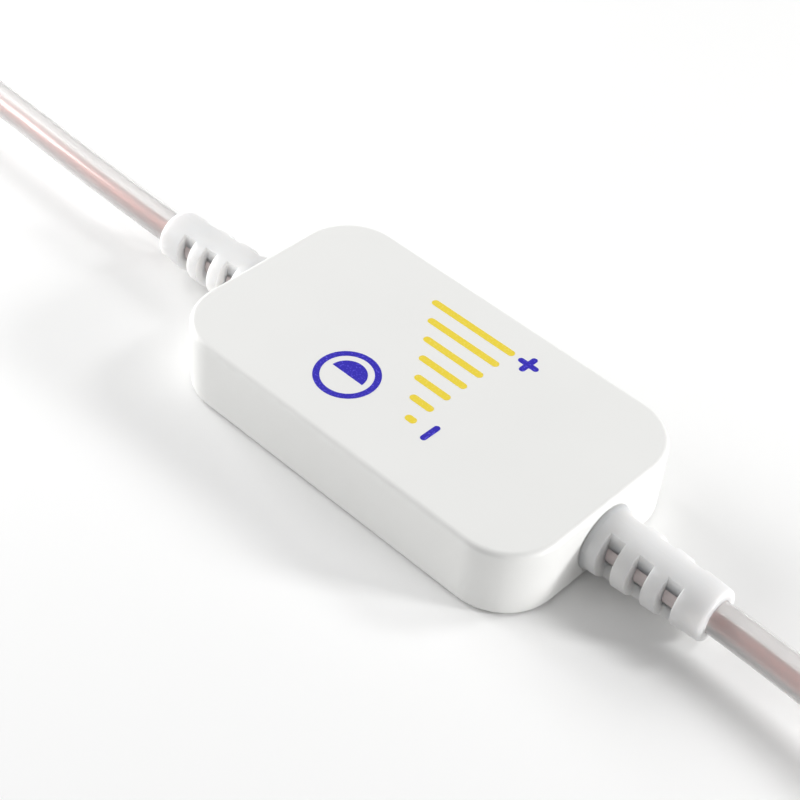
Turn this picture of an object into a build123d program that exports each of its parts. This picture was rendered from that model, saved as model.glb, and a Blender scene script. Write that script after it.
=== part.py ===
from build123d import *
import math
import os

# Inline dimmer on a light's low-voltage lead. The whole cover is the button: it slides down
# on four guide posts, against four springs, and clicks a switch in the middle of the board.
# X runs along the leads (input at -X, output at +X), Z is up, the table is at zero.

# Housing
body_length = 72.0
body_width = 40.0
cover_height = 12.15
corner_radius = 9.4
top_edge_radius = 0.9
skirt_edge_radius = 0.25
cover_wall = 1.6
roof_thickness = 1.6

# Heights above the table, and how far the cover is pressed
feet_lift = 0.4
skirt_lift = 0.45
press_travel = 0.25

# Clearances
skirt_gap = 0.25
sliding_gap = 0.15
stop_gap = 0.05
seat_gap = 0.02
overrun = 1.0

# Base
floor_thickness = 1.6
rim_wall = 1.2
rim_height = 1.4
standoff_height = 1.0
standoff_radius = 2.2

# Circuit board
board_side_space = 4.5
board_thickness = 1.2
board_corner = 1.5
board_screw_inset = 3.3

# Guide posts, sleeves and springs
post_inset = 8.0
post_gap = 1.6
post_radius = 1.5
post_height = 6.6
sleeve_wall = 1.0
sleeve_length = 4.6

# Snap hooks
hook_place_share = 0.15
hook_width = 6.0
hook_thickness = 1.2
hook_ledge = 5.0
hook_flat = 0.4
hook_lead_in = 0.8
hook_depth = 0.75
pocket_depth = 0.75

# Cord and strain relief
cord_height = 5.9
cord_radius = 2.7
core_radius = 0.85
core_spacing = 1.76
relief_length = 20.2
relief_root_radius = 5.3
relief_tip_radius = 4.25
neck_radius = 3.5
inner_flange_radius = 3.8
inner_groove_radius = 2.9
flange_length = 1.2
groove_length = 2.7
shoulder_inset = 2.4
cord_grip = 3.0

# Screws
screw_radius = 0.98
screw_head_radius = 1.75
screw_head_height = 1.1
screw_head_rounding = 0.35
screw_recess_length = 1.9
screw_recess_width = 0.42
screw_recess_depth = 0.6
screw_point_chamfer = 0.3
screw_hole_spare = 0.25
screw_clearance = 0.15

# Places that several pieces share
cover_top = skirt_lift + cover_height
roof_under = cover_top - roof_thickness
floor_top = feet_lift + floor_thickness
board_under = floor_top + standoff_height
board_top = board_under + board_thickness
base_length = body_length - 2 * (cover_wall + skirt_gap)
base_width = body_width - 2 * (cover_wall + skirt_gap)
base_corner = corner_radius - cover_wall - skirt_gap
wall_outside = body_length / 2
wall_inside = wall_outside - cover_wall
sleeve_radius = post_radius + sliding_gap + sleeve_wall
sleeve_bottom = roof_under - sleeve_length
collar_start = wall_outside + sliding_gap
relief_end = collar_start + relief_length
cord_start = relief_end - cord_grip
cord_axis = Axis((0, 0, cord_height), (1, 0, 0))
inner_shoulder = wall_inside - shoulder_inset
groove_end = inner_shoulder - flange_length
groove_start = groove_end - groove_length
relief_start = groove_start - flange_length
post_x = groove_start - post_gap - sleeve_radius
post_y = body_width / 2 - post_inset
board_length = 2 * (post_x - sleeve_radius - post_gap)
board_width = body_width - 2 * board_side_space
board_screw_x = board_length / 2 - board_screw_inset
board_screw_y = board_width / 2 - board_screw_inset
hook_x = body_length * hook_place_share


os.makedirs("parts", exist_ok=True)


def save(piece, name):
    """Label a finished piece and write it under its node's name."""
    piece.part.label = name
    export_step(piece.part, f"parts/{name}.step")


def mirrored(piece):
    """The same piece for the input end."""
    with BuildPart() as other_end:
        mirror(piece.part, about=Plane.YZ)
    return other_end


def block(low, high, mode=Mode.ADD):
    """A box between two corners, joined to the open part or cut from it."""
    size = [top - bottom for bottom, top in zip(low, high)]
    middle = tuple((top + bottom) / 2 for bottom, top in zip(low, high))
    with Locations(middle):
        Box(*size, mode=mode)


def pan_head_screws(places, seat, length):
    """Screws with a cross recess, heads up, seated at one height."""
    head_top = seat + screw_head_height
    with BuildPart() as screws:
        with BuildSketch(Plane.XY.offset(seat)):
            with Locations(*places):
                Circle(screw_head_radius)
        extrude(amount=screw_head_height)
        fillet(screws.edges().group_by(Axis.Z)[-1], screw_head_rounding)
        with BuildSketch(Plane.XY.offset(seat)):
            with Locations(*places):
                Circle(screw_radius)
        extrude(amount=-length)
        chamfer(screws.edges().group_by(Axis.Z)[0], screw_point_chamfer)
        with BuildSketch(Plane.XY.offset(head_top - screw_recess_depth)):
            with Locations(*places):
                Rectangle(screw_recess_length, screw_recess_width)
                Rectangle(screw_recess_width, screw_recess_length)
        extrude(amount=screw_recess_depth + overrun, mode=Mode.SUBTRACT)
    return screws


# Cover, with guide sleeves, the boss over the switch and pockets for the hooks
boss_radius = 2.4
switch_height = 4.3
boss_bottom = board_top + switch_height + stop_gap
cord_slot_radius = neck_radius + 2 * sliding_gap
pocket_bottom = hook_ledge - stop_gap
pocket_top = hook_ledge + hook_flat + hook_lead_in + press_travel + sliding_gap
side_inside = body_width / 2 - cover_wall

with BuildPart() as cover_shell:
    with BuildSketch(Plane.XY.offset(skirt_lift)):
        RectangleRounded(body_length, body_width, corner_radius)
    extrude(amount=cover_height)
    fillet(cover_shell.edges().group_by(Axis.Z)[-1], top_edge_radius)
    fillet(cover_shell.edges().group_by(Axis.Z)[0], skirt_edge_radius)
    with BuildSketch(Plane.XY.offset(skirt_lift)):
        RectangleRounded(2 * wall_inside, 2 * side_inside, corner_radius - cover_wall)
    extrude(amount=cover_height - roof_thickness, mode=Mode.SUBTRACT)
    with BuildSketch(Plane.XY.offset(sleeve_bottom)):
        with GridLocations(2 * post_x, 2 * post_y, 2, 2):
            Circle(sleeve_radius)
            Circle(post_radius + sliding_gap, mode=Mode.SUBTRACT)
    extrude(amount=sleeve_length)
    with BuildSketch(Plane.XY.offset(boss_bottom)):
        Circle(boss_radius)
    extrude(amount=roof_under - boss_bottom)
    for side_y in (-1, 1):
        for side_x in (-1, 1):
            pocket_faces = (side_inside - skirt_gap, side_inside + pocket_depth)
            pocket_y = sorted(side_y * face for face in pocket_faces)
            pocket_side = hook_width / 2 + 2 * sliding_gap
            block(
                (side_x * hook_x - pocket_side, pocket_y[0], pocket_bottom),
                (side_x * hook_x + pocket_side, pocket_y[1], pocket_top),
                mode=Mode.SUBTRACT,
            )
    for slot_start in (wall_inside - overrun, -wall_outside - overrun):
        with BuildSketch(Plane.YZ.offset(slot_start)):
            with Locations((0, cord_height + press_travel)):
                Circle(cord_slot_radius)
            with Locations((0, (cord_height + press_travel) / 2)):
                Rectangle(2 * cord_slot_radius, cord_height + press_travel)
        extrude(amount=cover_wall + 2 * overrun, mode=Mode.SUBTRACT)
save(cover_shell, "cover_shell")


# Strain relief: flange, groove and neck inside, then collar, slotted sleeve and tip ring
collar_flare = 0.25
flare_length = 0.7
tip_rounding = 0.7
slot_first_share = 0.124
slot_spacing_share = 0.2525
slot_width_share = 0.129
slot_count = 3
web_width = 4.7
jacket_lead_in = 0.5
rib_rounding = 0.18
slot_width = relief_length * slot_width_share
slot_reach = relief_root_radius + overrun - web_width / 2
slot_middle = web_width / 2 + slot_reach / 2
jacket_start = collar_start + jacket_lead_in
core_levels = (cord_height - core_spacing / 2, cord_height + core_spacing / 2)


def is_rib_edge(edge):
    """Whether an edge runs round the outside of a slot's wall."""
    middle = edge.position_at(0.5)
    beyond_first = middle.X > collar_start + flare_length + rib_rounding
    before_tip = middle.X < relief_end - tip_rounding - rib_rounding
    from_axis = math.hypot(middle.Y, middle.Z - cord_height)
    across = max(abs(edge.tangent_at(0.5).Y), abs(edge.tangent_at(0.5).Z)) > abs(edge.tangent_at(0.5).X)
    return beyond_first and before_tip and from_axis > relief_tip_radius - seat_gap and across


with BuildPart() as output_strain_relief:
    with BuildSketch(Plane.XZ):
        with BuildLine():
            Polyline(
                (relief_start, cord_height),
                (relief_start, cord_height + inner_flange_radius),
                (groove_start, cord_height + inner_flange_radius),
                (groove_start, cord_height + inner_groove_radius),
                (groove_end, cord_height + inner_groove_radius),
                (groove_end, cord_height + inner_flange_radius),
                (inner_shoulder, cord_height + inner_flange_radius),
                (inner_shoulder, cord_height + neck_radius),
                (collar_start, cord_height + neck_radius),
                (collar_start, cord_height + relief_root_radius + collar_flare),
                (collar_start + flare_length, cord_height + relief_root_radius),
                (relief_end, cord_height + relief_tip_radius),
                (relief_end, cord_height),
                close=True,
            )
        make_face()
    revolve(axis=cord_axis)
    tip_edge = output_strain_relief.edges().filter_by(GeomType.CIRCLE).sort_by(Axis.X)[-1]
    fillet(tip_edge, tip_rounding)
    for slot in range(slot_count):
        slot_start = collar_start + relief_length * (slot_first_share + slot * slot_spacing_share)
        with BuildSketch(Plane.YZ.offset(slot_start)):
            with Locations((-slot_middle, cord_height), (slot_middle, cord_height)):
                Rectangle(slot_reach, 2 * (relief_root_radius + overrun))
        extrude(amount=slot_width, mode=Mode.SUBTRACT)
    slot_edges = output_strain_relief.edges().filter_by(is_rib_edge)
    fillet(slot_edges, rib_rounding)
    with BuildSketch(Plane.YZ.offset(relief_start)):
        for level in core_levels:
            with Locations((0, level)):
                Circle(core_radius + seat_gap)
    extrude(amount=jacket_start - relief_start, mode=Mode.SUBTRACT)
    with BuildSketch(Plane.YZ.offset(jacket_start)):
        with Locations((0, cord_height)):
            Circle(cord_radius + seat_gap)
    extrude(amount=relief_end - jacket_start + overrun, mode=Mode.SUBTRACT)
save(output_strain_relief, "output_strain_relief")
input_strain_relief = mirrored(output_strain_relief)
save(input_strain_relief, "input_strain_relief")


# Jacket ends: the leads' jackets where they run on under the ribs, over the cores, and show in the slots
with BuildPart() as output_jacket_end:
    with BuildSketch(Plane.YZ.offset(jacket_start)):
        with Locations((0, cord_height)):
            Circle(cord_radius)
        for level in core_levels:
            with Locations((0, level)):
                Circle(core_radius + seat_gap, mode=Mode.SUBTRACT)
    extrude(amount=cord_start - jacket_start)
save(output_jacket_end, "output_jacket_end")
input_jacket_end = mirrored(output_jacket_end)
save(input_jacket_end, "input_jacket_end")


# Base: floor, rim, posts, stand-offs, hooks, and at each end a saddle, a cradle and a tongue
clamp_length = groove_length - 2 * sliding_gap
clamp_start = groove_start + sliding_gap
clamp_width = 15.2
clamp_screw_inset = 2.2
clamp_side = clamp_width / 2
clamp_screw_y = clamp_side - clamp_screw_inset
clamp_split = 0.3
clamp_fit_radius = inner_groove_radius + stop_gap
saddle_top = cord_height - clamp_split / 2
cradle_length = 1.5
cradle_width = 10.8
cradle_drop = 1.2
tongue_drop = 1.7
cradle_top = cord_height - cradle_drop
tongue_top = cord_height - tongue_drop
screw_length = 3.0
clamp_ear_thickness = 1.5
clamp_ear_top = saddle_top + clamp_split + clamp_ear_thickness
foot_radius = 3.6
foot_recess = 0.6
foot_inset = 10.0
foot_side_inset = 9.0
foot_x = body_length / 2 - foot_inset
foot_y = body_width / 2 - foot_side_inset
base_end = base_length / 2
clamp_end = clamp_start + clamp_length
clamp_middle = clamp_start + clamp_length / 2
clamp_places = [(side_x * clamp_middle, side_y * clamp_screw_y) for side_x in (-1, 1) for side_y in (-1, 1)]

with BuildPart() as base_plate:
    with BuildSketch(Plane.XY.offset(feet_lift)):
        RectangleRounded(base_length, base_width, base_corner)
    extrude(amount=floor_thickness)
    with BuildSketch(Plane.XY.offset(floor_top)):
        RectangleRounded(base_length, base_width, base_corner)
        RectangleRounded(
            base_length - 2 * rim_wall, base_width - 2 * rim_wall, base_corner - rim_wall, mode=Mode.SUBTRACT
        )
    extrude(amount=rim_height)
    with BuildSketch(Plane.XY.offset(floor_top)):
        with GridLocations(2 * post_x, 2 * post_y, 2, 2):
            Circle(post_radius)
    extrude(amount=post_height)
    with BuildSketch(Plane.XY.offset(floor_top)):
        with GridLocations(2 * board_screw_x, 2 * board_screw_y, 2, 2):
            Circle(standoff_radius)
    extrude(amount=standoff_height)
    for side_x in (-1, 1):
        for side_y in (-1, 1):
            hook_face = base_width / 2
            hook_section = [
                (side_y * (hook_face - hook_thickness), floor_top),
                (side_y * hook_face, floor_top),
                (side_y * hook_face, hook_ledge),
                (side_y * (hook_face + hook_depth), hook_ledge),
                (side_y * (hook_face + hook_depth), hook_ledge + hook_flat),
                (side_y * hook_face, hook_ledge + hook_flat + hook_lead_in),
                (side_y * (hook_face - hook_thickness), hook_ledge + hook_flat + hook_lead_in),
            ]
            with BuildSketch(Plane.YZ.offset(side_x * hook_x - hook_width / 2)):
                with BuildLine():
                    Polyline(*hook_section, close=True)
                make_face()
            extrude(amount=hook_width)
    block((clamp_start, -clamp_side, floor_top), (clamp_end, clamp_side, saddle_top))
    cradle_start = base_end - cradle_length
    block((cradle_start, -cradle_width / 2, floor_top), (base_end, cradle_width / 2, cradle_top))
    tongue_side = cord_slot_radius - skirt_gap
    block((base_end, -tongue_side, skirt_lift), (wall_outside - stop_gap, tongue_side, tongue_top))
    mirror(about=Plane.YZ)
    for side_x in (-1, 1):
        with BuildSketch(Plane.YZ.offset(side_x * clamp_start)):
            with Locations((0, cord_height)):
                Circle(clamp_fit_radius)
        extrude(amount=side_x * clamp_length, mode=Mode.SUBTRACT)
        with BuildSketch(Plane.YZ.offset(side_x * cradle_start)):
            with Locations((0, cord_height)):
                Circle(neck_radius + stop_gap)
        extrude(amount=side_x * (wall_outside - cradle_start), mode=Mode.SUBTRACT)
    with BuildSketch(Plane.XY.offset(board_under)):
        with GridLocations(2 * board_screw_x, 2 * board_screw_y, 2, 2):
            Circle(screw_radius + seat_gap)
    extrude(amount=-(screw_length - board_thickness + screw_hole_spare), mode=Mode.SUBTRACT)
    with BuildSketch(Plane.XY.offset(saddle_top)):
        with Locations(*clamp_places):
            Circle(screw_radius + seat_gap)
    extrude(amount=-screw_length, mode=Mode.SUBTRACT)
    with BuildSketch(Plane.XY.offset(feet_lift)):
        with GridLocations(2 * foot_x, 2 * foot_y, 2, 2):
            Circle(foot_radius + sliding_gap)
    extrude(amount=foot_recess, mode=Mode.SUBTRACT)
save(base_plate, "base_plate")

foot_edge = 0.2
with BuildPart() as rubber_feet:
    with BuildSketch():
        with GridLocations(2 * foot_x, 2 * foot_y, 2, 2):
            Circle(foot_radius)
    extrude(amount=feet_lift + foot_recess)
    chamfer(rubber_feet.edges().group_by(Axis.Z)[0], foot_edge)
save(rubber_feet, "rubber_feet")


# Cord clamps over the strain reliefs' grooves, and their screws
clamp_wall = 0.9
clamp_under = saddle_top + clamp_split
with BuildPart() as output_cord_clamp:
    block((clamp_start, -clamp_side, clamp_under), (clamp_end, clamp_side, clamp_ear_top))
    with BuildSketch(Plane.YZ.offset(clamp_start)):
        with Locations((0, cord_height)):
            Circle(clamp_fit_radius + clamp_wall)
    extrude(amount=clamp_length)
    with BuildSketch(Plane.YZ.offset(clamp_start)):
        with Locations((0, cord_height)):
            Circle(clamp_fit_radius)
    extrude(amount=clamp_length, mode=Mode.SUBTRACT)
    block(
        (clamp_start, -clamp_side, cord_height - clamp_fit_radius - clamp_wall),
        (clamp_end, clamp_side, clamp_under),
        mode=Mode.SUBTRACT,
    )
    with BuildSketch(Plane.XY.offset(clamp_under)):
        with Locations(*clamp_places):
            Circle(screw_radius + screw_clearance)
    extrude(amount=clamp_ear_top - clamp_under, mode=Mode.SUBTRACT)
save(output_cord_clamp, "output_cord_clamp")
input_cord_clamp = mirrored(output_cord_clamp)
save(input_cord_clamp, "input_cord_clamp")
clamp_screw_length = clamp_ear_top - saddle_top + screw_length - screw_hole_spare
clamp_screws = pan_head_screws(clamp_places, clamp_ear_top, clamp_screw_length)
save(clamp_screws, "clamp_screws")


# Return springs round the guide posts, between the floor and the sleeves
spring_wire = 0.35
spring_turns = 4
spring_sides = 8
spring_round_share = 0.95
spring_radius = (post_radius + sleeve_radius) / 2
spring_low = floor_top + spring_wire / 2 + stop_gap
spring_high = sleeve_bottom - spring_wire / 2 - stop_gap
spring_steps = spring_turns * spring_sides


def spring_point(step, centre_x, centre_y):
    """Corner of the spring's path; the arcs between its runs make the round turns."""
    turn_angle = 2 * math.pi * step / spring_sides
    corner_distance = spring_radius / math.cos(math.pi / spring_sides)
    height = spring_low + (spring_high - spring_low) * step / spring_steps
    return (
        centre_x + corner_distance * math.cos(turn_angle),
        centre_y + corner_distance * math.sin(turn_angle),
        height,
    )


with BuildPart() as return_springs:
    for side_x in (-1, 1):
        for side_y in (-1, 1):
            turns = [spring_point(step, side_x * post_x, side_y * post_y) for step in range(spring_steps + 1)]
            with BuildLine() as spring_path:
                FilletPolyline(*turns, radius=spring_radius * spring_round_share)
            with BuildSketch(Plane(origin=spring_path.line @ 0, z_dir=spring_path.line % 0)):
                Circle(spring_wire / 2)
            sweep()
save(return_springs, "return_springs")
spring_gap = (spring_high - spring_low) / spring_turns - spring_wire
print(f"spring: gap between turns {spring_gap:.2f} mm")


# Circuit board and its screws
with BuildPart() as circuit_board:
    with BuildSketch(Plane.XY.offset(board_under)):
        RectangleRounded(board_length, board_width, board_corner)
        with GridLocations(2 * board_screw_x, 2 * board_screw_y, 2, 2):
            Circle(screw_radius + screw_clearance, mode=Mode.SUBTRACT)
    extrude(amount=board_thickness)
save(circuit_board, "circuit_board")
board_screw_places = [
    (side_x * board_screw_x, side_y * board_screw_y) for side_x in (-1, 1) for side_y in (-1, 1)
]
board_screws = pan_head_screws(board_screw_places, board_top, screw_length)
save(board_screws, "board_screws")


# Tactile switch in the middle of the board: case, plunger, dome, top plate and terminals
switch_side = 6.0
switch_case_height = 3.2
switch_floor = 1.2
switch_bore = 2.3
plate_thickness = 0.3
plunger_radius = 1.7
plunger_flange_radius = 2.15
peg_radius = 0.4
peg_inset = 0.65
peg_height = 0.12
dome_radius = 2.1
dome_height = 0.5
dome_sheet = 0.1
switch_floor_top = board_top + switch_floor
peg_spacing = switch_side - 2 * peg_inset
switch_case_top = board_top + switch_case_height
dome_top = switch_floor_top + dome_height

with BuildPart() as switch_case:
    with BuildSketch(Plane.XY.offset(board_top)):
        Rectangle(switch_side, switch_side)
    extrude(amount=switch_case_height)
    with BuildSketch(Plane.XY.offset(switch_floor_top)):
        Circle(switch_bore)
    extrude(amount=switch_case_height - switch_floor, mode=Mode.SUBTRACT)
    with BuildSketch(Plane.XY.offset(switch_case_top)):
        with GridLocations(peg_spacing, peg_spacing, 2, 2):
            Circle(peg_radius)
    extrude(amount=plate_thickness + peg_height)
save(switch_case, "switch_case")

with BuildPart() as switch_top_plate:
    with BuildSketch(Plane.XY.offset(switch_case_top)):
        Rectangle(switch_side, switch_side)
        Circle(plunger_radius + sliding_gap, mode=Mode.SUBTRACT)
        with GridLocations(peg_spacing, peg_spacing, 2, 2):
            Circle(peg_radius + seat_gap, mode=Mode.SUBTRACT)
    extrude(amount=plate_thickness)
save(switch_top_plate, "switch_top_plate")

plunger_low = dome_top + seat_gap
plunger_flange_top = switch_case_top - stop_gap
plunger_edge = 0.2
with BuildPart() as switch_plunger:
    with BuildSketch(Plane.XY.offset(plunger_low)):
        Circle(plunger_flange_radius)
    extrude(amount=plunger_flange_top - plunger_low)
    with BuildSketch(Plane.XY.offset(plunger_flange_top)):
        Circle(plunger_radius)
    extrude(amount=board_top + switch_height - plunger_flange_top)
    fillet(switch_plunger.edges().group_by(Axis.Z)[-1], plunger_edge)
save(switch_plunger, "switch_plunger")

with BuildPart() as switch_dome:
    with BuildSketch(Plane.XZ):
        with BuildLine():
            upper = ThreePointArc(
                (-dome_radius, switch_floor_top + dome_sheet),
                (0, dome_top),
                (dome_radius, switch_floor_top + dome_sheet),
            )
            Line(upper @ 1, (dome_radius, switch_floor_top))
            lower = ThreePointArc(
                (dome_radius, switch_floor_top),
                (0, dome_top - dome_sheet),
                (-dome_radius, switch_floor_top),
            )
            Line(lower @ 1, upper @ 0)
        make_face()
        split(bisect_by=Plane.YZ, keep=Keep.TOP)
    revolve(axis=Axis.Z)
save(switch_dome, "switch_dome")

terminal_width = 0.7
terminal_y = 2.25
terminal_length = 1.4
terminal_thickness = 0.2
terminal_height = 0.9
knee_inside = (switch_side + terminal_length) / 2
knee_outside = knee_inside + terminal_thickness
terminal_tip = switch_side / 2 + terminal_length
with BuildPart() as switch_terminals:
    for side_x in (-1, 1):
        for side_y in (-1, 1):
            terminal_section = [
                (side_x * switch_side / 2, board_top + terminal_height - terminal_thickness),
                (side_x * knee_inside, board_top + terminal_height - terminal_thickness),
                (side_x * knee_inside, board_top),
                (side_x * terminal_tip, board_top),
                (side_x * terminal_tip, board_top + terminal_thickness),
                (side_x * knee_outside, board_top + terminal_thickness),
                (side_x * knee_outside, board_top + terminal_height),
                (side_x * switch_side / 2, board_top + terminal_height),
            ]
            with BuildSketch(Plane.XZ.offset(-side_y * terminal_y - terminal_width / 2)):
                with BuildLine():
                    Polyline(*terminal_section, close=True)
                make_face()
            extrude(amount=terminal_width)
save(switch_terminals, "switch_terminals")


# Chips and other components on the board
package_draft = 6
leg_height_share = 0.25


def body_with_legs(centre, size, lift, leg_count, leg_width, leg_spacing, leg_length):
    """A moulded package and its row of legs on each long side, as two pieces."""
    body_low = board_top + lift
    leg_thickness = lift + size[2] * leg_height_share
    with BuildPart() as package:
        with BuildSketch(Plane.XY.offset(body_low)):
            with Locations(centre):
                Rectangle(size[0], size[1])
        extrude(amount=size[2], taper=package_draft)
    with BuildPart() as legs:
        with BuildSketch(Plane.XY.offset(board_top)):
            for side in (-1, 1):
                leg_y = centre[1] + side * (size[1] + leg_length) / 2
                with Locations((centre[0], leg_y)):
                    with GridLocations(leg_spacing, leg_length, leg_count, 1):
                        Rectangle(leg_width, leg_length)
        extrude(amount=leg_thickness)
    return package, legs


def on_board(shares):
    """A place on the board, from its shares of the board's length and width."""
    return (shares[0] * board_length, shares[1] * board_width)


package_lift = 0.1
controller_place_share = (-0.17, 0.3)
controller_size = (4.9, 3.9, 1.45)
controller_pin_count = 4
controller_pin_width = 0.42
controller_pin_spacing = 1.27
controller_pin_length = 1.0
controller_chip, controller_pins = body_with_legs(
    on_board(controller_place_share),
    controller_size,
    package_lift,
    controller_pin_count,
    controller_pin_width,
    controller_pin_spacing,
    controller_pin_length,
)
save(controller_chip, "controller_chip")
save(controller_pins, "controller_pins")

transistor_place_share = (0.17, 0.31)
transistor_size = (6.5, 3.5, 1.7)
transistor_lead_count = 3
transistor_lead_width = 0.7
transistor_lead_spacing = 2.3
transistor_lead_length = 1.6
power_transistor, transistor_leads = body_with_legs(
    on_board(transistor_place_share),
    transistor_size,
    package_lift,
    transistor_lead_count,
    transistor_lead_width,
    transistor_lead_spacing,
    transistor_lead_length,
)
save(power_transistor, "power_transistor")
save(transistor_leads, "transistor_leads")

regulator_place_share = (-0.17, -0.23)
regulator_size = (4.5, 2.5, 1.5)
regulator_lead_count = 3
regulator_lead_width = 0.45
regulator_lead_spacing = 1.5
regulator_lead_length = 0.8
voltage_regulator, regulator_leads = body_with_legs(
    on_board(regulator_place_share),
    regulator_size,
    package_lift,
    regulator_lead_count,
    regulator_lead_width,
    regulator_lead_spacing,
    regulator_lead_length,
)
save(voltage_regulator, "voltage_regulator")
save(regulator_leads, "regulator_leads")

diode_place_share = (-0.17, -0.38)
diode_size = (4.3, 2.6, 2.1)
diode_tab_width = 1.4
diode_tab_length = 0.5
diode_tab_height = 1.0
with BuildPart() as protection_diode:
    with BuildSketch(Plane.XY.offset(board_top)):
        with Locations(on_board(diode_place_share)):
            Rectangle(diode_size[0], diode_size[1])
    extrude(amount=diode_size[2], taper=package_draft)
save(protection_diode, "protection_diode")
with BuildPart() as diode_tabs:
    with BuildSketch(Plane.XY.offset(board_top)):
        with Locations(on_board(diode_place_share)):
            with GridLocations(diode_size[0] + diode_tab_length, diode_tab_length, 2, 1):
                Rectangle(diode_tab_length, diode_tab_width)
    extrude(amount=diode_tab_height)
save(diode_tabs, "diode_tabs")

can_place_share = (0.17, -0.29)
can_radius = 2.5
can_height = 4.6
can_base_side = 5.3
can_base_height = 0.8
can_rounding = 0.4
with BuildPart() as capacitor_base:
    with BuildSketch(Plane.XY.offset(board_top)):
        with Locations(on_board(can_place_share)):
            Rectangle(can_base_side, can_base_side)
    extrude(amount=can_base_height)
save(capacitor_base, "capacitor_base")
with BuildPart() as storage_capacitor:
    with BuildSketch(Plane.XY.offset(board_top + can_base_height)):
        with Locations(on_board(can_place_share)):
            Circle(can_radius)
    extrude(amount=can_height)
    fillet(storage_capacitor.edges().group_by(Axis.Z)[-1], can_rounding)
save(storage_capacitor, "storage_capacitor")

chip_size = (2.0, 1.25)
chip_cap_length = 0.35
chip_body_length = chip_size[0] - 2 * chip_cap_length
ceramic_height = 1.1
resistor_height = 0.5
ceramic_place_shares = [(0, 0.2), (0, 0.28), (0.01, -0.2)]
resistor_place_shares = [(0, 0.36), (0, 0.44), (0.01, -0.28), (0.01, -0.36), (0.01, -0.44)]
ceramic_places = [on_board(shares) for shares in ceramic_place_shares]
resistor_places = [on_board(shares) for shares in resistor_place_shares]


def chip_bodies(places, height):
    """The ceramic blocks of a set of chip components."""
    with BuildPart() as bodies:
        with BuildSketch(Plane.XY.offset(board_top)):
            with Locations(*places):
                Rectangle(chip_body_length, chip_size[1])
        extrude(amount=height)
    return bodies


ceramic_capacitors = chip_bodies(ceramic_places, ceramic_height)
save(ceramic_capacitors, "ceramic_capacitors")
chip_resistors = chip_bodies(resistor_places, resistor_height)
save(chip_resistors, "chip_resistors")
with BuildPart() as chip_end_caps:
    for places, height in ((ceramic_places, ceramic_height), (resistor_places, resistor_height)):
        with BuildSketch(Plane.XY.offset(board_top)):
            with Locations(*places):
                with GridLocations(chip_body_length + chip_cap_length, chip_cap_length, 2, 1):
                    Rectangle(chip_cap_length, chip_size[1])
        extrude(amount=height)
save(chip_end_caps, "chip_end_caps")


# Cores from the strain relief to the board, one copper and one silver at each end
core_lead_in = 1.2
core_bend_start = relief_start - core_lead_in
pad_inset = 4.4
core_flat_length = 2.4
core_pad_y = 3.2
solder_under_core = 0.25
core_rest = board_top + core_radius + solder_under_core
core_end_x = board_length / 2 - pad_inset
core_pad_x = core_end_x + core_flat_length
core_bend_radius = 3.0


def core(level, side_y):
    """One core, straight through the strain relief and then down to its pad."""
    route = [
        (cord_start, 0, cord_height + level * core_spacing / 2),
        (core_bend_start, 0, cord_height + level * core_spacing / 2),
        (core_pad_x, side_y * core_pad_y, core_rest),
        (core_end_x, side_y * core_pad_y, core_rest),
    ]
    with BuildPart() as strand:
        with BuildLine() as strand_path:
            FilletPolyline(*route, radius=core_bend_radius)
        with BuildSketch(Plane(origin=strand_path.line @ 0, z_dir=strand_path.line % 0)):
            Circle(core_radius)
        sweep()
    return strand


output_copper_core = core(1, 1)
save(output_copper_core, "output_copper_core")
output_silver_core = core(-1, -1)
save(output_silver_core, "output_silver_core")
input_copper_core = mirrored(output_copper_core)
save(input_copper_core, "input_copper_core")
input_silver_core = mirrored(output_silver_core)
save(input_silver_core, "input_silver_core")

solder_radius = 1.7
solder_height = 1.3
solder_slope = 30
with BuildPart() as solder_joints:
    with BuildSketch(Plane.XY.offset(board_top)):
        with GridLocations(2 * core_end_x, 2 * core_pad_y, 2, 2):
            Circle(solder_radius)
    extrude(amount=solder_height, taper=solder_slope)
    for side_x in (-1, 1):
        with BuildSketch(Plane.YZ.offset(side_x * core_end_x)):
            with Locations((-core_pad_y, core_rest), (core_pad_y, core_rest)):
                Circle(core_radius + seat_gap)
        extrude(amount=side_x * (solder_radius + overrun), mode=Mode.SUBTRACT)
save(solder_joints, "solder_joints")


# Leads, from inside the strain reliefs' tip rings to the socket and the plug
lead_end_height = 5.6
output_first_run = 24.0
output_bend_run = 36.0
output_last_run = 30.0
output_side_offset = 6.5
input_first_run = 20.0
input_bend_run = 40.0
input_last_run = 38.0
input_side_offset = 2.2
output_bend_start = cord_start + output_first_run
output_bend_end = output_bend_start + output_bend_run
input_bend_start = cord_start + input_first_run
input_bend_end = input_bend_start + input_bend_run
output_route = [
    (cord_start, 0, cord_height),
    (output_bend_start, 0, cord_height),
    (output_bend_end, -output_side_offset, lead_end_height),
    (output_bend_end + output_last_run, -output_side_offset, lead_end_height),
]
input_route = [
    (-cord_start, 0, cord_height),
    (-input_bend_start, 0, cord_height),
    (-input_bend_end, input_side_offset, lead_end_height),
    (-input_bend_end - input_last_run, input_side_offset, lead_end_height),
]
run_share = 0.45


def bend_radii(route):
    """Radius at each inner point: a share of its shorter run, divided by the tangent of half the turn."""
    radii = []
    for before, corner, after in zip(route, route[1:], route[2:]):
        run_in = Vector(*corner) - Vector(*before)
        run_out = Vector(*after) - Vector(*corner)
        half_turn = math.radians(run_in.get_angle(run_out)) / 2
        radii.append(run_share * min(run_in.length, run_out.length) / math.tan(half_turn))
    return radii


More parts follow.
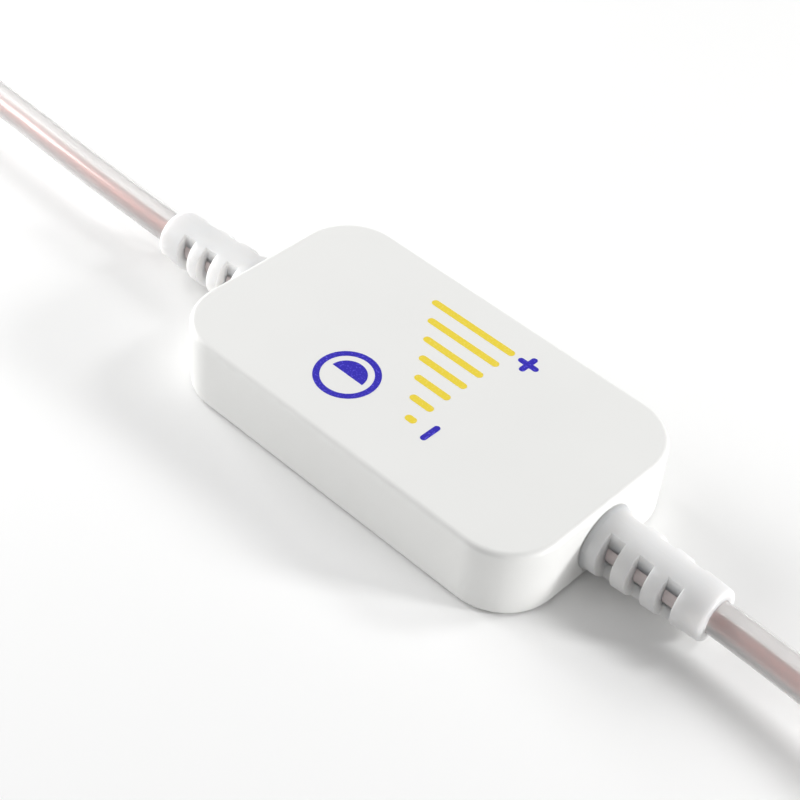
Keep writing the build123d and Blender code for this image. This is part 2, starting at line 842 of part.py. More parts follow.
def lead(route, name):
    """A round lead along its route, with its bend radii and its volume printed."""
    radii = bend_radii(route)
    with BuildPart() as tube:
        with BuildLine() as lead_path:
            FilletPolyline(*route, radius=radii)
        with BuildSketch(Plane(origin=lead_path.line @ 0, z_dir=lead_path.line % 0)):
            Circle(cord_radius)
        sweep()
    length = lead_path.wire().length
    section = math.pi * cord_radius**2
    print(name, "radii", [round(radius) for radius in radii], f"length {length:.1f} mm")
    print(name, f"volume over section times length {tube.part.volume / (section * length):.4f}")
    return tube


output_lead = lead(output_route, "output lead")
save(output_lead, "output_lead")
input_lead = lead(input_route, "input lead")
save(input_lead, "input_lead")


# Connector tails: a tapered, ribbed sleeve that grips the lead's end
tail_length = 11.0
tail_radius = 3.7
tail_root_radius = 4.6
tail_groove_first = 2.2
tail_groove_spacing = 2.8
tail_groove_count = 3
tail_groove_width = 1.3
tail_groove_floor = 3.3
connector_rounding = 0.6


def connector_plane(route):
    """Plane at a lead's end: its X runs on along the lead, its Y is up."""
    forward = 1 if route[-1][0] > 0 else -1
    return Plane(origin=route[-1], x_dir=(forward, 0, 0), z_dir=(0, -forward, 0))


def ring_profile(start, end, inner, outer):
    """Half section of a straight ring, for turning about the connector's axis."""
    with Locations(((start + end) / 2, (inner + outer) / 2)):
        Rectangle(end - start, outer - inner)


def turned(plane, start, end, inner, outer):
    """A straight ring or, with no bore, a solid rod on the connector's axis."""
    with BuildPart() as ring:
        with BuildSketch(plane):
            ring_profile(start, end, inner, outer)
        revolve(axis=Axis(plane.origin, plane.x_dir))
    return ring


def overmould(plane, front, body_radius, flange_radius, flange_length, bores):
    """Connector body round the lead's end; each bore along its axis has a start, an end and a radius."""
    tail_start = -cord_grip
    body_start = tail_start + tail_length
    with BuildPart() as body:
        with BuildSketch(plane):
            with BuildLine():
                Polyline(
                    (tail_start, 0),
                    (tail_start, tail_radius),
                    (body_start, tail_root_radius),
                    (body_start, 0),
                    close=True,
                )
            make_face()
            ring_profile(body_start, front, 0, body_radius)
            ring_profile(front - flange_length, front, 0, flange_radius)
        revolve(axis=Axis(plane.origin, plane.x_dir))
        shoulder = body.edges().filter_by(GeomType.CIRCLE).group_by(SortBy.RADIUS)[-1]
        fillet(shoulder, connector_rounding / 2)
        with BuildSketch(plane):
            for groove in range(tail_groove_count):
                groove_low = tail_start + tail_groove_first + groove * tail_groove_spacing
                groove_high = groove_low + tail_groove_width
                ring_profile(groove_low, groove_high, tail_groove_floor, tail_root_radius + overrun)
        revolve(axis=Axis(plane.origin, plane.x_dir), mode=Mode.SUBTRACT)
        with BuildSketch(plane):
            ring_profile(tail_start - overrun, 0, 0, cord_radius + seat_gap)
            for start, end, radius in bores:
                ring_profile(start, end, 0, radius)
        revolve(axis=Axis(plane.origin, plane.x_dir), mode=Mode.SUBTRACT)
    return body


# Output plug: overmould, barrel, insulator and inner contact
plug_plane = connector_plane(output_route)
plug_front = 27.0
plug_body_radius = 4.9
plug_flange_radius = 5.5
plug_flange_length = 2.0
barrel_radius = 2.75
barrel_bore = 2.3
barrel_length = 9.5
barrel_depth = 4.0
barrel_root_radius = 3.3
barrel_root = plug_front - barrel_depth
barrel_tip = plug_front + barrel_length
insulator_bore = 1.45
insulator_nose = 0.3
contact_bore = 1.08
contact_recess = 1.0
plug_body = overmould(
    plug_plane,
    plug_front,
    plug_body_radius,
    plug_flange_radius,
    plug_flange_length,
    [(barrel_root, plug_front + overrun, barrel_root_radius + seat_gap)],
)
save(plug_body, "plug_body")
with BuildPart() as plug_barrel:
    with BuildSketch(plug_plane):
        ring_profile(barrel_root, plug_front, barrel_bore, barrel_root_radius)
        ring_profile(plug_front, barrel_tip, barrel_bore, barrel_radius)
    revolve(axis=Axis(plug_plane.origin, plug_plane.x_dir))
save(plug_barrel, "plug_barrel")
insulator_tip = barrel_tip + insulator_nose
plug_insulator = turned(plug_plane, barrel_root, insulator_tip, insulator_bore, barrel_bore - seat_gap)
save(plug_insulator, "plug_insulator")
plug_contact = turned(
    plug_plane, barrel_root, barrel_tip - contact_recess, contact_bore, insulator_bore - seat_gap
)
save(plug_contact, "plug_contact")


# Input socket: overmould, insert, centre pin and side contact
socket_plane = connector_plane(input_route)
socket_front = 33.0
socket_body_radius = 5.5
socket_insert_radius = 4.3
socket_bore = 2.9
socket_depth = 10.0
insert_end_wall = 2.0
insert_root = socket_front - socket_depth - insert_end_wall
pin_radius = 1.0
pin_recess = 0.8
contact_width = 1.6
contact_thickness = 0.3
contact_bow = 0.25
socket_body = overmould(
    socket_plane,
    socket_front,
    socket_body_radius,
    socket_body_radius,
    plug_flange_length,
    [(insert_root, socket_front + overrun, socket_insert_radius + seat_gap)],
)
save(socket_body, "socket_body")

with BuildPart() as socket_insert:
    with BuildSketch(socket_plane):
        ring_profile(insert_root, socket_front, 0, socket_insert_radius)
    revolve(axis=Axis(socket_plane.origin, socket_plane.x_dir))
    with BuildSketch(socket_plane):
        ring_profile(socket_front - socket_depth, socket_front + overrun, 0, socket_bore)
        ring_profile(insert_root, socket_front, 0, pin_radius + seat_gap)
    revolve(axis=Axis(socket_plane.origin, socket_plane.x_dir), mode=Mode.SUBTRACT)
    with BuildSketch(socket_plane):
        with BuildLine():
            Polyline(
                (socket_front - socket_depth, 0),
                (socket_front, 0),
                (socket_front, socket_bore + contact_thickness + contact_bow),
                (socket_front - socket_depth, socket_bore + contact_thickness + contact_bow),
                close=True,
            )
        make_face()
    extrude(amount=contact_width / 2 + seat_gap, both=True, mode=Mode.SUBTRACT)
save(socket_insert, "socket_insert")

socket_pin = turned(socket_plane, insert_root, socket_front - pin_recess, 0, pin_radius)
save(socket_pin, "socket_pin")

with BuildPart() as socket_contact:
    with BuildSketch(socket_plane):
        contact_low = socket_bore + contact_bow
        contact_start = socket_front - socket_depth
        contact_end = socket_front - pin_recess
        with BuildLine():
            inner_curve = ThreePointArc(
                (contact_start, contact_low),
                ((contact_start + contact_end) / 2, contact_low - 2 * contact_bow),
                (contact_end, contact_low),
            )
            outer_curve = ThreePointArc(
                (contact_start, contact_low + contact_thickness - seat_gap),
                ((contact_start + contact_end) / 2, contact_low - 2 * contact_bow + contact_thickness),
                (contact_end, contact_low + contact_thickness - seat_gap),
            )
            Line(inner_curve @ 0, outer_curve @ 0)
            Line(inner_curve @ 1, outer_curve @ 1)
        make_face()
    extrude(amount=contact_width / 2, both=True)
save(socket_contact, "socket_contact")
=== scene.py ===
import math

import bpy
from mathutils import Matrix, Vector


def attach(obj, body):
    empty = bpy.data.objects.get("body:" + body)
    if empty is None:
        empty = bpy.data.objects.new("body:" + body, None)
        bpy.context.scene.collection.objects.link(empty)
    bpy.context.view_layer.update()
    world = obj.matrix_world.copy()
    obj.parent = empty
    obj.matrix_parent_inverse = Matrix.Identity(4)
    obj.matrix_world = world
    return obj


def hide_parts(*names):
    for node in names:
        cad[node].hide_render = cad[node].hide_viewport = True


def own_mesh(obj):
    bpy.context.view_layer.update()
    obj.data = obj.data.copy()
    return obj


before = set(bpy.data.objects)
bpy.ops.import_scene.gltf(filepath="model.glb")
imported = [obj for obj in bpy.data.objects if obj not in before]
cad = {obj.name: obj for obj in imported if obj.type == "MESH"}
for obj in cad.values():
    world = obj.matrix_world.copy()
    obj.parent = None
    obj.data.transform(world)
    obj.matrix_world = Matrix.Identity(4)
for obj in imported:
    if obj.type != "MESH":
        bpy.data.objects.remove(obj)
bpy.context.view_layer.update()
scene = bpy.context.scene
MM = 0.001


# Camera. The photo looks down on the near right corner of the housing from 44 degrees above the
# table, with the picture tipped a few degrees. It is a long lens at about 28 cm.
azimuth, elevation, roll = (math.radians(angle) for angle in (40.98, 43.68, 4.63))
target = Vector((-6.81, 2.92, 0.45)) * MM
distance = 277.6 * MM
lens_length = 79.57
back = Vector(
    (
        math.sin(azimuth) * math.cos(elevation),
        -math.cos(azimuth) * math.cos(elevation),
        math.sin(elevation),
    )
)
level_right = (-back).cross(Vector((0, 0, 1))).normalized()
level_up = level_right.cross(-back)
right = level_right * math.cos(roll) + level_up * math.sin(roll)
up = level_up * math.cos(roll) - level_right * math.sin(roll)
turn = Matrix((right, up, back)).transposed().to_4x4()
camera = bpy.data.objects.new("camera", bpy.data.cameras.new("camera"))
camera.data.lens = lens_length
camera.data.sensor_width = 36
camera.data.clip_start = 0.01
camera.matrix_world = Matrix.Translation(target + back * distance) @ turn
scene.collection.objects.link(camera)
scene.camera = camera
scene.view_settings.view_transform = "Standard"


def linear(hex_colour):
    """The linear colour of an sRGB hex value such as #2A1FB0."""
    channels = [int(hex_colour[i : i + 2], 16) / 255 for i in (1, 3, 5)]
    return [c / 12.92 if c <= 0.04045 else ((c + 0.055) / 1.055) ** 2.4 for c in channels] + [1]


def add_node(tree, kind, settings=None, links=None):
    """Adds a node with its settings, and links its inputs from other nodes' sockets."""
    made = tree.nodes.new(kind)
    for key, value in (settings or {}).items():
        if isinstance(key, int) or key in made.inputs:
            made.inputs[key].default_value = value
        else:
            setattr(made, key, value)
    for key, socket in (links or {}).items():
        tree.links.new(socket, made.inputs[key])
    return made


def new_material(name):
    """An empty material with its surface shader; returns the material, its tree and the shader."""
    material = bpy.data.materials.new(name)
    material.use_nodes = True
    tree = material.node_tree
    return material, tree, tree.nodes["Principled BSDF"]


def tint(tree, shader, dark_hex, light_hex, share):
    """Colours a surface between two tones, by a texture's value."""
    tone = add_node(
        tree,
        "ShaderNodeMix",
        {"data_type": "RGBA", 6: linear(dark_hex), 7: linear(light_hex)},
        {0: share},
    )
    tree.links.new(tone.outputs[2], shader.inputs["Base Color"])


def dull(tree, shader, low, high, share):
    """Varies a surface's roughness between two values, by a texture's value."""
    rough = add_node(tree, "ShaderNodeMapRange", {"To Min": low, "To Max": high}, {"Value": share})
    tree.links.new(rough.outputs[0], shader.inputs["Roughness"])


def emboss(tree, shader, strength, depth, height):
    """Gives a surface a fine relief, by a texture's value."""
    bump = add_node(
        tree, "ShaderNodeBump", {"Strength": strength, "Distance": depth}, {"Height": height}
    )
    tree.links.new(bump.outputs[0], shader.inputs["Normal"])


def wear(*objects):
    """Puts a material, the last of the arguments, on each object before it."""
    *worn, material = objects
    for piece in worn:
        piece.data.materials.clear()
        piece.data.materials.append(material)


# Table and light. A white table in a dim even surround, lit low from both ends along the leads. Two
# small soft boxes on the far side of the near lead draw the soft shadow beside it.
def table_top():
    """The seamless white table that the photo shows, matt and slightly uneven in tone."""
    material, tree, shader = new_material("white_paper_sweep")
    place = add_node(tree, "ShaderNodeTexCoord")
    cloud = add_node(tree, "ShaderNodeTexNoise", {"Scale": 6.0}, {"Vector": place.outputs["Object"]})
    tint(tree, shader, "#F7F7F6", "#F9F9F9", cloud.outputs[0])
    shader.inputs["Roughness"].default_value = 0.6
    shader.inputs["Specular IOR Level"].default_value = 0.2
    return material


floor_reach = 3.0
corners = [
    (-floor_reach, -floor_reach, 0),
    (floor_reach, -floor_reach, 0),
    (floor_reach, floor_reach, 0),
    (-floor_reach, floor_reach, 0),
]
floor_mesh = bpy.data.meshes.new("floor")
floor_mesh.from_pydata(corners, [], [(0, 1, 2, 3)])
floor = bpy.data.objects.new("floor", floor_mesh)
scene.collection.objects.link(floor)
wear(floor, table_top())

surround = bpy.data.worlds.new("surround")
surround.use_nodes = True
surround.node_tree.nodes["Background"].inputs["Color"].default_value = linear("#FFFFFF")
surround.node_tree.nodes["Background"].inputs["Strength"].default_value = 0.3
scene.world = surround
light_distance = 0.6


def soft_light(name, azimuth, height, size, power):
    """A square soft box that faces the housing, its azimuth counted from +X, both angles in degrees."""
    lamp = bpy.data.lights.new(name, "AREA")
    lamp.shape = "SQUARE"
    lamp.size = size
    lamp.energy = power
    box = bpy.data.objects.new(name, lamp)
    raised = Matrix.Rotation(math.radians(-height), 4, "Y")
    turned = Matrix.Rotation(math.radians(azimuth), 4, "Z") @ raised
    place = turned @ Vector((light_distance, 0, 0))
    box.matrix_world = Matrix.Translation(place) @ (-place).to_track_quat("-Z", "Y").to_matrix().to_4x4()
    scene.collection.objects.link(box)


soft_light("far_end_low", 200, 15, 0.3, 2.1)
soft_light("far_end", 180, 22, 0.25, 2.1)
soft_light("near_end_low", 10, 8.5, 0.13, 1.0)
soft_light("near_end", 30, 21.5, 0.09, 1.75)
soft_light("key", 55, 40, 0.12, 0.75)
soft_light("fill", 225, 50, 0.25, 0.24)


# Leads. Two flexible round leads, 5.4 mm across: a clear PVC jacket, extruded over a bare copper
# core above and a tinned core below. They lie in easy bends, from the housing to their connectors.
lead_diameter = 5.4 * MM
output_points = [(53.35, 0, 5.9), (77.35, 0, 5.9), (113.35, -6.5, 5.6), (143.35, -6.5, 5.6)]
input_points = [(-53.35, 0, 5.9), (-73.35, 0, 5.9), (-113.35, 2.2, 5.6), (-151.35, 2.2, 5.6)]


def lead_curve(name, points):
    """The smooth line of a lead, as one open spline whose control points are its route."""
    curve = bpy.data.curves.new(name, "CURVE")
    curve.dimensions = "3D"
    spline = curve.splines.new("NURBS")
    spline.points.add(len(points) - 1)
    for point, place in zip(spline.points, points):
        point.co = (*(Vector(place) * MM), 1)
    spline.order_u = 3
    spline.use_endpoint_u = True
    spline.resolution_u = 24
    piece = bpy.data.objects.new(name, curve)
    scene.collection.objects.link(piece)
    return piece


def clear_pvc(name, tint_hex, clearness):
    """Plasticised PVC, extruded: clear but milky with plasticiser, so that it blurs what lies inside."""
    material, tree, shader = new_material(name)
    place = add_node(tree, "ShaderNodeTexCoord")
    wave_length = 9 * MM
    wave = add_node(
        tree,
        "ShaderNodeTexNoise",
        {"Scale": 1 / wave_length, "Detail": 1.0},
        {"Vector": place.outputs["Object"]},
    )
    dull(tree, shader, 0.34, 0.42, wave.outputs[0])
    shader.inputs["Base Color"].default_value = linear(tint_hex)
    shader.inputs["Transmission Weight"].default_value = clearness
    shader.inputs["IOR"].default_value = 1.53
    shader.inputs["Coat Weight"].default_value = 1.0
    shader.inputs["Coat Roughness"].default_value = 0.08
    return material


jacket_pvc = clear_pvc("clear_pvc_jacket", "#FFFEFD", 0.65)
jackets = {}
for name, points in (("output_jacket", output_points), ("input_jacket", input_points)):
    jacket = lead_curve(name, points)
    jacket.data.bevel_depth = lead_diameter / 2
    jacket.data.bevel_resolution = 10
    jacket.data.use_fill_caps = True
    wear(jacket, jacket_pvc)
    jacket.visible_shadow = False
    jackets[name] = jacket


# Cores in the leads. Bundles of fine bare wires, laid in a long twist: copper above, tinned copper
# below. They run side by side all along the jacket.
core_radius = 0.85 * MM
core_places = {"copper": (0, -0.75 * MM, 0.3 * MM), "silver": (0, -0.3 * MM, -1.4 * MM)}


def core_tree():
    """Geometry nodes for a twisted bundle of wires that follows a lead's line."""
    tree = bpy.data.node_groups.new("twisted_core", "GeometryNodeTree")
    sockets = [
        ("Line", "NodeSocketGeometry"),
        ("Offset", "NodeSocketVector"),
        ("Radius", "NodeSocketFloat"),
        ("Wires", "NodeSocketInt"),
        ("Groove", "NodeSocketFloat"),
        ("Twist Length", "NodeSocketFloat"),
        ("Step", "NodeSocketFloat"),
        ("Material", "NodeSocketMaterial"),
    ]
    for name, kind in sockets:
        tree.interface.new_socket(name=name, in_out="INPUT", socket_type=kind)
    tree.interface.new_socket(name="Core", in_out="OUTPUT", socket_type="NodeSocketGeometry")
    given = add_node(tree, "NodeGroupInput").outputs
    line = add_node(tree, "GeometryNodeMeshToCurve", links={0: given["Line"]})
    even = add_node(
        tree,
        "GeometryNodeResampleCurve",
        {"mode": "LENGTH"},
        {"Curve": line.outputs[0], "Length": given["Step"]},
    )
    beside = add_node(
        tree, "GeometryNodeSetPosition", links={"Geometry": even.outputs[0], "Offset": given["Offset"]}
    )
    upright = add_node(
        tree, "GeometryNodeSetCurveNormal", {"mode": "Z_UP"}, {"Curve": beside.outputs[0]}
    )
    along = add_node(tree, "GeometryNodeSplineParameter")
    turns = add_node(
        tree,
        "ShaderNodeMath",
        {"operation": "DIVIDE"},
        {0: along.outputs["Length"], 1: given["Twist Length"]},
    )
    angle = add_node(
        tree, "ShaderNodeMath", {"operation": "MULTIPLY", 1: math.tau}, {0: turns.outputs[0]}
    )
    twisted = add_node(
        tree,
        "GeometryNodeSetCurveTilt",
        links={"Curve": upright.outputs[0], "Tilt": angle.outputs[0]},
    )
    steps_per_wire = 4.0
    section_steps = add_node(
        tree, "ShaderNodeMath", {"operation": "MULTIPLY", 1: steps_per_wire}, {0: given["Wires"]}
    )
    circle = add_node(
        tree,
        "GeometryNodeCurvePrimitiveCircle",
        links={"Resolution": section_steps.outputs[0], "Radius": given["Radius"]},
    )
    position = add_node(tree, "GeometryNodeInputPosition")
    parts = add_node(tree, "ShaderNodeSeparateXYZ", links={0: position.outputs[0]})
    round_angle = add_node(
        tree,
        "ShaderNodeMath",
        {"operation": "ARCTAN2"},
        {0: parts.outputs[1], 1: parts.outputs[0]},
    )
    wire_angle = add_node(
        tree, "ShaderNodeMath", {"operation": "MULTIPLY"}, {0: round_angle.outputs[0], 1: given["Wires"]}
    )
    wave = add_node(tree, "ShaderNodeMath", {"operation": "COSINE"}, {0: wire_angle.outputs[0]})
    dip = add_node(
        tree, "ShaderNodeMath", {"operation": "MULTIPLY"}, {0: wave.outputs[0], 1: given["Groove"]}
    )
    push = add_node(
        tree,
        "ShaderNodeVectorMath",
        {"operation": "SCALE"},
        {0: position.outputs[0], "Scale": dip.outputs[0]},
    )
    lobed = add_node(
        tree,
        "GeometryNodeSetPosition",
        links={"Geometry": circle.outputs[0], "Offset": push.outputs[0]},
    )
    swept = add_node(
        tree,
        "GeometryNodeCurveToMesh",
        {"Fill Caps": True},
        {"Curve": twisted.outputs[0], "Profile Curve": lobed.outputs[0]},
    )
    smooth = add_node(tree, "GeometryNodeSetShadeSmooth", links={"Geometry": swept.outputs[0]})
    whole = add_node(tree, "GeometryNodeRealizeInstances", links={0: smooth.outputs[0]})
    dressed = add_node(
        tree,
        "GeometryNodeSetMaterial",
        links={"Geometry": whole.outputs[0], "Material": given["Material"]},
    )
    add_node(tree, "NodeGroupOutput", links={0: dressed.outputs[0]})
    return tree


def grown(name, start, tree, values):
    """Runs a geometry tree on a mesh with the given inputs and returns the result as a plain mesh."""
    seed = bpy.data.objects.new(name + "_seed", start)
    scene.collection.objects.link(seed)
    grower = seed.modifiers.new("grow", "NODES")
    grower.node_group = tree
    identifiers = {item.name: item.identifier for item in tree.interface.items_tree}
    for label, value in values.items():
        grower[identifiers[label]] = value
    ready = seed.evaluated_get(bpy.context.evaluated_depsgraph_get())
    mesh = bpy.data.meshes.new_from_object(ready)
    mesh.name = name
    seed.modifiers.remove(grower)
    bpy.data.objects.remove(seed)
    piece = bpy.data.objects.new(name, mesh)
    scene.collection.objects.link(piece)
    return piece


def bare_wire(name, light_hex, dark_hex, roughness, wire_grain):
    """Drawn wire, varied in tone and roughness by a fine noise: darker patches where oxide and oil sit.
    """
    material, tree, shader = new_material(name)
    place = add_node(tree, "ShaderNodeTexCoord")
    stain = add_node(
        tree,
        "ShaderNodeTexNoise",
        {"Scale": 1 / wire_grain, "Detail": 3.0},
        {"Vector": place.outputs["Object"]},
    )
    tint(tree, shader, dark_hex, light_hex, stain.outputs[0])
    dull(tree, shader, roughness - 0.08, roughness + 0.1, stain.outputs[0])
    shader.inputs["Metallic"].default_value = 1.0
    return material


copper_wire = bare_wire("bare_copper_wire", "#BF8378", "#94564E", 0.42, 1.2 * MM)
tinned_wire = bare_wire("tinned_copper_wire", "#B4B4B2", "#8A8B8D", 0.4, 1.2 * MM)
twisted_core = core_tree()
for end, points in (("output", output_points), ("input", input_points)):
    guide = lead_curve(end + "_guide", points)
    line = bpy.data.meshes.new_from_object(
        guide.evaluated_get(bpy.context.evaluated_depsgraph_get())
    )
    for metal, wire in (("copper", copper_wire), ("silver", tinned_wire)):
        values = {
            "Offset": core_places[metal],
            "Radius": core_radius,
            "Wires": 14,
            "Groove": 0.05,
            "Twist Length": 14 * MM,
            "Step": 0.5 * MM,
            "Material": wire,
        }
        core = grown(f"{end}_lead_{metal}_core", line.copy(), twisted_core, values)
        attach(core, "base")
    bpy.data.objects.remove(guide)

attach(jackets["output_jacket"], "base")
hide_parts("output_lead")
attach(jackets["input_jacket"], "base")
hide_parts("input_lead")


# Cover. One injection moulding in white ABS with a fine satin texture. It is the button: it rides
# on its own body and carries the print.
def moulded_plastic(name, light_hex, dark_hex, roughness, grain, depth):
    """Injection-moulded plastic with the fine spark-eroded grain of its tool."""
    material, tree, shader = new_material(name)
    place = add_node(tree, "ShaderNodeTexCoord")
    flow_marks = 14 * MM
    cloud = add_node(
        tree, "ShaderNodeTexNoise", {"Scale": 1 / flow_marks}, {"Vector": place.outputs["Object"]}
    )
    tint(tree, shader, dark_hex, light_hex, cloud.outputs[0])
    speckle = add_node(
        tree,
        "ShaderNodeTexNoise",
        {"Scale": 1 / grain, "Detail": 2.0},
        {"Vector": place.outputs["Object"]},
    )
    dull(tree, shader, roughness - 0.06, roughness + 0.06, speckle.outputs[0])
    emboss(tree, shader, 0.3, depth, speckle.outputs[0])
    return material


housing_abs = moulded_plastic(
    "white_abs_fine_texture", "#EDEDEB", "#EAEAE8", 0.42, 0.25 * MM, 0.004 * MM
)
wear(cad["cover_shell"], cad["base_plate"], housing_abs)


# Print on the cover. Pad-printed ink, 0.02 mm thick, blue and yellow: a half-filled disc, a rising
# row of bars, and minus and plus signs.
cover_top = 12.6 * MM
ink_thickness = 0.02 * MM


def printed_ink(name, full_hex, worn_hex, cover_share):
    """Pad-printing ink with the fine speckle of a rubber pad on a grained surface."""
    material, tree, shader = new_material(name)
    place = add_node(tree, "ShaderNodeTexCoord")
    speck = 0.35 * MM
    speckle = add_node(
        tree,
        "ShaderNodeTexNoise",
        {"Scale": 1 / speck, "Detail": 2.0},
        {"Vector": place.outputs["Object"]},
    )
    soft_edge = 0.12
    sharp = add_node(
        tree,
        "ShaderNodeMapRange",
        {"From Min": cover_share, "From Max": cover_share + soft_edge},
        {"Value": speckle.outputs[0]},
    )
    tint(tree, shader, full_hex, worn_hex, sharp.outputs[0])
    emboss(tree, shader, 0.4, 0.01 * MM, speckle.outputs[0])
    shader.inputs["Roughness"].default_value = 0.5
    return material


blue_ink = printed_ink("blue_pad_print_ink", "#2A1FB0", "#5A50DC", 0.56)
yellow_ink = printed_ink("yellow_pad_print_ink", "#ECD33A", "#F0DC62", 0.55)


def bar_tree():
    """Geometry nodes for a row of round-ended printed bars, each longer than the one before."""
    tree = bpy.data.node_groups.new("rising_bars", "GeometryNodeTree")
    sockets = [
        ("Start", "NodeSocketVector"),
        ("Spacing", "NodeSocketFloat"),
        ("Count", "NodeSocketInt"),
        ("Width", "NodeSocketFloat"),
        ("First Length", "NodeSocketFloat"),
        ("Growth", "NodeSocketFloat"),
        ("Thickness", "NodeSocketFloat"),
        ("Height", "NodeSocketFloat"),
        ("Material", "NodeSocketMaterial"),
    ]
    tree.interface.new_socket(name="Seed", in_out="INPUT", socket_type="NodeSocketGeometry")
    for name, kind in sockets:
        tree.interface.new_socket(name=name, in_out="INPUT", socket_type=kind)
    tree.interface.new_socket(name="Bars", in_out="OUTPUT", socket_type="NodeSocketGeometry")
    given = add_node(tree, "NodeGroupInput").outputs
    step = add_node(tree, "ShaderNodeCombineXYZ", links={1: given["Spacing"]})
    row = add_node(
        tree,
        "GeometryNodeMeshLine",
        links={"Count": given["Count"], "Start Location": given["Start"], "Offset": step.outputs[0]},
    )
    index = add_node(tree, "GeometryNodeInputIndex")
    extra = add_node(
        tree, "ShaderNodeMath", {"operation": "MULTIPLY"}, {0: index.outputs[0], 1: given["Growth"]}
    )
    length = add_node(
        tree, "ShaderNodeMath", {"operation": "ADD"}, {0: extra.outputs[0], 1: given["First Length"]}
    )
    half = add_node(tree, "ShaderNodeMath", {"operation": "MULTIPLY", 1: -0.5}, {0: length.outputs[0]})
    rise = add_node(tree, "ShaderNodeCombineXYZ", links={0: half.outputs[0]})
    centred = add_node(
        tree, "GeometryNodeSetPosition", links={"Geometry": row.outputs[0], "Offset": rise.outputs[0]}
    )
    oblong = add_node(
        tree, "GeometryNodeCurvePrimitiveQuadrilateral", {"Width": 1.0}, {"Height": given["Width"]}
    )
    stretch = add_node(tree, "ShaderNodeCombineXYZ", {1: 1.0, 2: 1.0}, {0: length.outputs[0]})
    bars = add_node(
        tree,
        "GeometryNodeInstanceOnPoints",
        links={"Points": centred.outputs[0], "Instance": oblong.outputs[0], "Scale": stretch.outputs[0]},
    )
    outlines = add_node(tree, "GeometryNodeRealizeInstances", links={0: bars.outputs[0]})
    corner_share = 0.499
    corner = add_node(
        tree, "ShaderNodeMath", {"operation": "MULTIPLY", 1: corner_share}, {0: given["Width"]}
    )
    rounded = add_node(
        tree,
        "GeometryNodeFilletCurve",
        {"mode": "POLY", "Count": 8},
        {"Curve": outlines.outputs[0], "Radius": corner.outputs[0]},
    )
    faces = add_node(tree, "GeometryNodeFillCurve", {"mode": "NGONS"}, {"Curve": rounded.outputs[0]})
    lift = add_node(tree, "ShaderNodeCombineXYZ", links={2: given["Thickness"]})
    thick = add_node(
        tree,
        "GeometryNodeExtrudeMesh",
        {"Individual": False, "Offset Scale": 1.0},
        {"Mesh": faces.outputs[0], "Offset": lift.outputs[0]},
    )
    under = add_node(tree, "GeometryNodeFlipFaces", links={0: faces.outputs[0]})
    both = add_node(tree, "GeometryNodeJoinGeometry")
    tree.links.new(under.outputs[0], both.inputs[0])
    tree.links.new(thick.outputs[0], both.inputs[0])
    weld_gap = 0.001 * MM
    closed = add_node(
        tree, "GeometryNodeMergeByDistance", {"Distance": weld_gap}, {"Geometry": both.outputs[0]}
    )
    height = add_node(tree, "ShaderNodeCombineXYZ", links={2: given["Height"]})
    raised = add_node(
        tree,
        "GeometryNodeSetPosition",
        links={"Geometry": closed.outputs[0], "Offset": height.outputs[0]},
    )
    whole = add_node(tree, "GeometryNodeRealizeInstances", links={0: raised.outputs[0]})
    dressed = add_node(
        tree,
        "GeometryNodeSetMaterial",
        links={"Geometry": whole.outputs[0], "Material": given["Material"]},
    )
    add_node(tree, "NodeGroupOutput", links={0: dressed.outputs[0]})
    return tree


bar_values = {
    "Start": (6.4 * MM, -8.4 * MM, 0),
    "Height": cover_top,
    "Spacing": 3.6 * MM,
    "Count": 7,
    "Width": 1.3 * MM,
    "First Length": 2.0 * MM,
    "Growth": 2.5 * MM,
    "Thickness": ink_thickness,
    "Material": yellow_ink,
}
printed_bars = grown("printed_bars", bpy.data.meshes.new("bar_seed"), bar_tree(), bar_values)
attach(printed_bars, "cover")


def printed_shape(name, outlines, ink):
    """A flat printed shape from its outlines, inner ones making holes, on the cover's top."""
    curve = bpy.data.curves.new(name, "CURVE")
    curve.dimensions = "2D"
    curve.fill_mode = "BOTH"
    curve.extrude = ink_thickness / 2
    for outline in outlines:
        spline = curve.splines.new("POLY")
        spline.points.add(len(outline) - 1)
        for point, (across, rise) in zip(spline.points, outline):
            point.co = (-rise * MM, across * MM, 0, 1)
        spline.use_cyclic_u = True
    flat = bpy.data.objects.new(name + "_flat", curve)
    scene.collection.objects.link(flat)
    mesh = bpy.data.meshes.new_from_object(flat.evaluated_get(bpy.context.evaluated_depsgraph_get()))
    bpy.data.objects.remove(flat)
    mesh.transform(Matrix.Translation((0, 0, cover_top + ink_thickness / 2)))
    piece = bpy.data.objects.new(name, mesh)
    scene.collection.objects.link(piece)
    wear(piece, ink)
    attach(piece, "cover")
    return piece


def arc(centre, radius, start, end, steps=48):
    """Points on an arc, angles in degrees, counted from across towards rise."""
    angles = [math.radians(start + (end - start) * step / steps) for step in range(steps + 1)]
    return [(centre[0] + radius * math.cos(a), centre[1] + radius * math.sin(a)) for a in angles]


def stroke(start, end, width):
    """A round-ended stroke between two points."""
    direction = math.degrees(math.atan2(end[1] - start[1], end[0] - start[0]))
    far_half = arc(end, width / 2, direction - 90, direction + 90, 12)
    near_half = arc(start, width / 2, direction + 90, direction + 270, 12)
    return far_half + near_half


